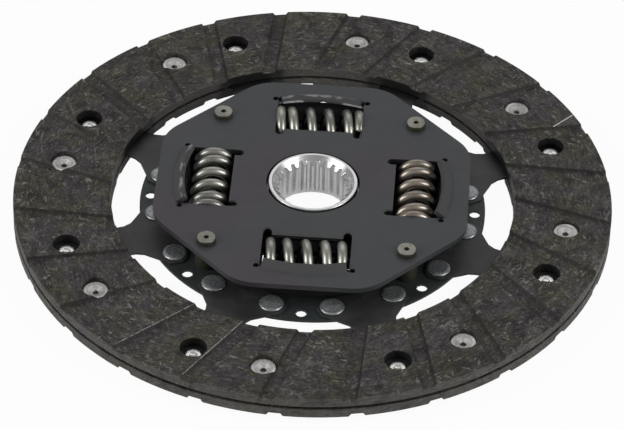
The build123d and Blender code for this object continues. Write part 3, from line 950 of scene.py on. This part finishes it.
def spring(number, nested, crossing, material):
    """One coil spring in its window. Windows 1 and 3 are on X and their springs lie
    along Y; 2 and 4 the other way round. A nested spring lies inside an outer one and
    is wound the other way. Crossing is the turn at which the wire passes the top."""
    if nested:
        name, node = f"inner_coil_{number}", f"inner_spring_{number}"
        local = spring_wire(
            INNER_SPRING_L,
            INNER_SPRING_OUTER_D,
            INNER_SPRING_WIRE_D,
            INNER_SPRING_TURNS,
            crossing,
            hand=-1,
        )
    else:
        name, node = f"outer_coil_{number}", f"damper_spring_{number}"
        outer_d = SPRING_OUTER_D[number % 2]
        local = spring_wire(SPRING_L, outer_d, SPRING_WIRE_D, SPRING_TURNS, crossing)
    window_angle = 90 * (number - 1)
    middle = rotation_z(window_angle) @ np.array([SPRING_R, 0, 0]) + [0, 0, DAMPER_Z]
    placed = local @ rotation_z(window_angle + 90).T + middle
    made = piece(name, [(placed, False, True)], material, "springs", (node,))
    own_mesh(made)


spring(1, nested=False, crossing=0.15, material=BROWN_SPRING_STEEL)
spring(2, nested=False, crossing=0.11, material=SPRING_STEEL)
spring(3, nested=False, crossing=0.15, material=SPRING_STEEL)
spring(4, nested=False, crossing=0.70, material=SPRING_STEEL)
spring(1, nested=True, crossing=0.3, material=BROWN_SPRING_STEEL)
spring(3, nested=True, crossing=0.3, material=SPRING_STEEL)

# ---------------------------------------------------------------- hub


def splined_hub():
    """Closed section carried round the axis. In the bore the radius swings between
    the minor and the major radius tooth by tooth, as a clipped sine, and is never
    less than the lead-in cone's radius at that height."""
    steepness = 1.9  # of a tooth's flanks
    around = np.linspace(0, FULL_TURN, SPLINE_TEETH * 16, endpoint=False)
    wave = np.clip(steepness * np.sin(SPLINE_TEETH * around), -1, 1)
    half_depth = (SPLINE_MAJOR_R - SPLINE_MINOR_R) / 2
    tooth = (SPLINE_MINOR_R + SPLINE_MAJOR_R) / 2 + half_depth * wave
    heights = np.concatenate(
        [
            np.linspace(HUB_TOP_Z, HUB_TOP_Z - 3.4, 15),
            np.linspace(HUB_TOP_Z - 4.5, HUB_BOTTOM_Z + 3.2, 8),
            np.linspace(HUB_BOTTOM_Z + 2.4, HUB_BOTTOM_Z, 8),
        ]
    )
    from_top = HUB_TOP_Z - heights
    from_bottom = heights - HUB_BOTTOM_Z
    cone = np.maximum(HUB_MOUTH_R - from_top, HUB_MOUTH_R - from_bottom)
    bore = np.maximum(tooth[None, :], cone[:, None])
    bore_grid = np.stack(
        [
            bore * np.cos(around),
            bore * np.sin(around),
            np.repeat(heights[:, None], len(around), axis=1),
        ],
        axis=-1,
    )
    seat_low, seat_high = DAMPER_Z - FLANGE_SEAT_HALF, DAMPER_Z + FLANGE_SEAT_HALF
    outside = rounded(
        [
            (HUB_MOUTH_R, HUB_BOTTOM_Z),
            (HUB_R, HUB_BOTTOM_Z, 0.5),
            (HUB_R, seat_low),
            (FLANGE_SEAT_R, seat_low),
            (FLANGE_SEAT_R, seat_high),
            (HUB_R, seat_high),
            (HUB_R, HUB_TOP_Z, 0.35),
            (HUB_MOUTH_R, HUB_TOP_Z),
        ]
    )
    outside_grid = turned(outside, len(around))
    return np.concatenate([bore_grid, outside_grid[:-1]], axis=0)


piece(
    "splined_hub",
    [(splined_hub(), True, True)],
    HUB_STEEL,
    "hub_body",
    ("hub",),
)

# ---------------------------------------------------------------- camera, floor and light

TARGET = Vector((0.0, 0.0, FACE_Z * MM))
ELEVATION = np.radians(40.26)
TURN = np.radians(2.867)
ROLL = np.radians(1.56)
DISTANCE = 1.33472
FOCAL_PX = 3712.43
PICTURE_W = 624
OFFSET_PX = (0.767, -21.175)

towards_camera = Vector(
    (np.cos(ELEVATION) * np.sin(TURN), -np.cos(ELEVATION) * np.cos(TURN), np.sin(ELEVATION))
)
level = Vector((np.cos(TURN), np.sin(TURN), 0.0))
upright = towards_camera.cross(level)
right = level * float(np.cos(ROLL)) + upright * float(np.sin(ROLL))
up = upright * float(np.cos(ROLL)) - level * float(np.sin(ROLL))
place = TARGET + towards_camera * DISTANCE

lens = bpy.data.cameras.new("studio_camera")
lens.sensor_width = 36.0
lens.lens = 36.0 * FOCAL_PX / PICTURE_W
lens.shift_x = -OFFSET_PX[0] / PICTURE_W
lens.shift_y = OFFSET_PX[1] / PICTURE_W
lens.clip_start = 0.05
lens.clip_end = 20.0
camera = bpy.data.objects.new("studio_camera", lens)
camera.matrix_world = Matrix(
    (
        (right.x, up.x, towards_camera.x, place.x),
        (right.y, up.y, towards_camera.y, place.y),
        (right.z, up.z, towards_camera.z, place.z),
        (0, 0, 0, 1),
    )
)
bpy.context.scene.collection.objects.link(camera)
bpy.context.scene.camera = camera


def studio_floor():
    """Wide level sheet under the hub. To the camera it is nearly white everywhere,
    and it keeps a faint shadow."""
    s = Shader(bpy.data.materials.new("floor_paper"))
    path = s.node("ShaderNodeLightPath")
    lit = s.node("ShaderNodeBsdfDiffuse", None, {"Color": (0.8, 0.8, 0.8, 1)})["BSDF"]
    glow = {"Color": (1, 1, 1, 1), "Strength": 1.0}
    white = s.node("ShaderNodeEmission", None, glow)["Emission"]
    share = (path["Is Camera Ray"] * 0.95).most(path["Is Glossy Ray"] * 0.5)
    mixed = s.node("ShaderNodeMixShader", None, {0: share, 1: lit, 2: white})["Shader"]
    s.node("ShaderNodeOutputMaterial", None, {"Surface": mixed})
    half = 4000.0
    x, y = np.meshgrid(np.linspace(-half, half, 3), np.linspace(-half, half, 3))
    points = np.stack([x, y, 0 * x + HUB_BOTTOM_Z], axis=-1)
    mesh = bpy.data.meshes.new("floor")
    mesh.from_pydata(points.reshape(-1, 3) * MM, [], grid_faces(3, 3, False, False))
    mesh.materials.append(s.owner)
    floor = bpy.data.objects.new("floor", mesh)
    bpy.context.scene.collection.objects.link(floor)


studio_floor()


def soft_box(name, azimuth, elevation, distance, width, height, watts):
    """Rectangular lamp aimed at the disc from a compass angle and a height angle."""
    a, e = np.radians(azimuth), np.radians(elevation)
    aim = Vector((np.cos(e) * np.cos(a), np.cos(e) * np.sin(a), np.sin(e)))
    lamp = bpy.data.lights.new(name, "AREA")
    lamp.shape = "RECTANGLE"
    lamp.size = width
    lamp.size_y = height
    lamp.energy = watts
    held = bpy.data.objects.new(name, lamp)
    held.location = aim * distance
    held.rotation_euler = aim.to_track_quat("Z", "Y").to_euler()
    bpy.context.scene.collection.objects.link(held)


soft_box(
    "left_box", azimuth=200, elevation=28, distance=1.3, width=0.6, height=1.0, watts=9
)
soft_box(
    "right_box", azimuth=-20, elevation=28, distance=1.3, width=0.6, height=1.0, watts=9
)
soft_box(
    "back_screen", azimuth=90, elevation=42, distance=1.5, width=1.4, height=0.9, watts=3
)


def studio_world():
    """Even grey light all round; white to the camera."""
    world = bpy.data.worlds.new("studio")
    s = Shader(world)
    path = s.node("ShaderNodeLightPath")
    white = (1, 1, 1, 1)
    even = s.node("ShaderNodeBackground", None, {"Color": white, "Strength": 0.3})
    seen = s.node("ShaderNodeBackground", None, {"Color": white, "Strength": 1.0})
    both = s.node(
        "ShaderNodeMixShader",
        None,
        {0: path["Is Camera Ray"], 1: even["Background"], 2: seen["Background"]},
    )["Shader"]
    s.node("ShaderNodeOutputWorld", None, {"Surface": both})
    bpy.context.scene.world = world


studio_world()
bpy.context.scene.view_settings.view_transform = "Standard"
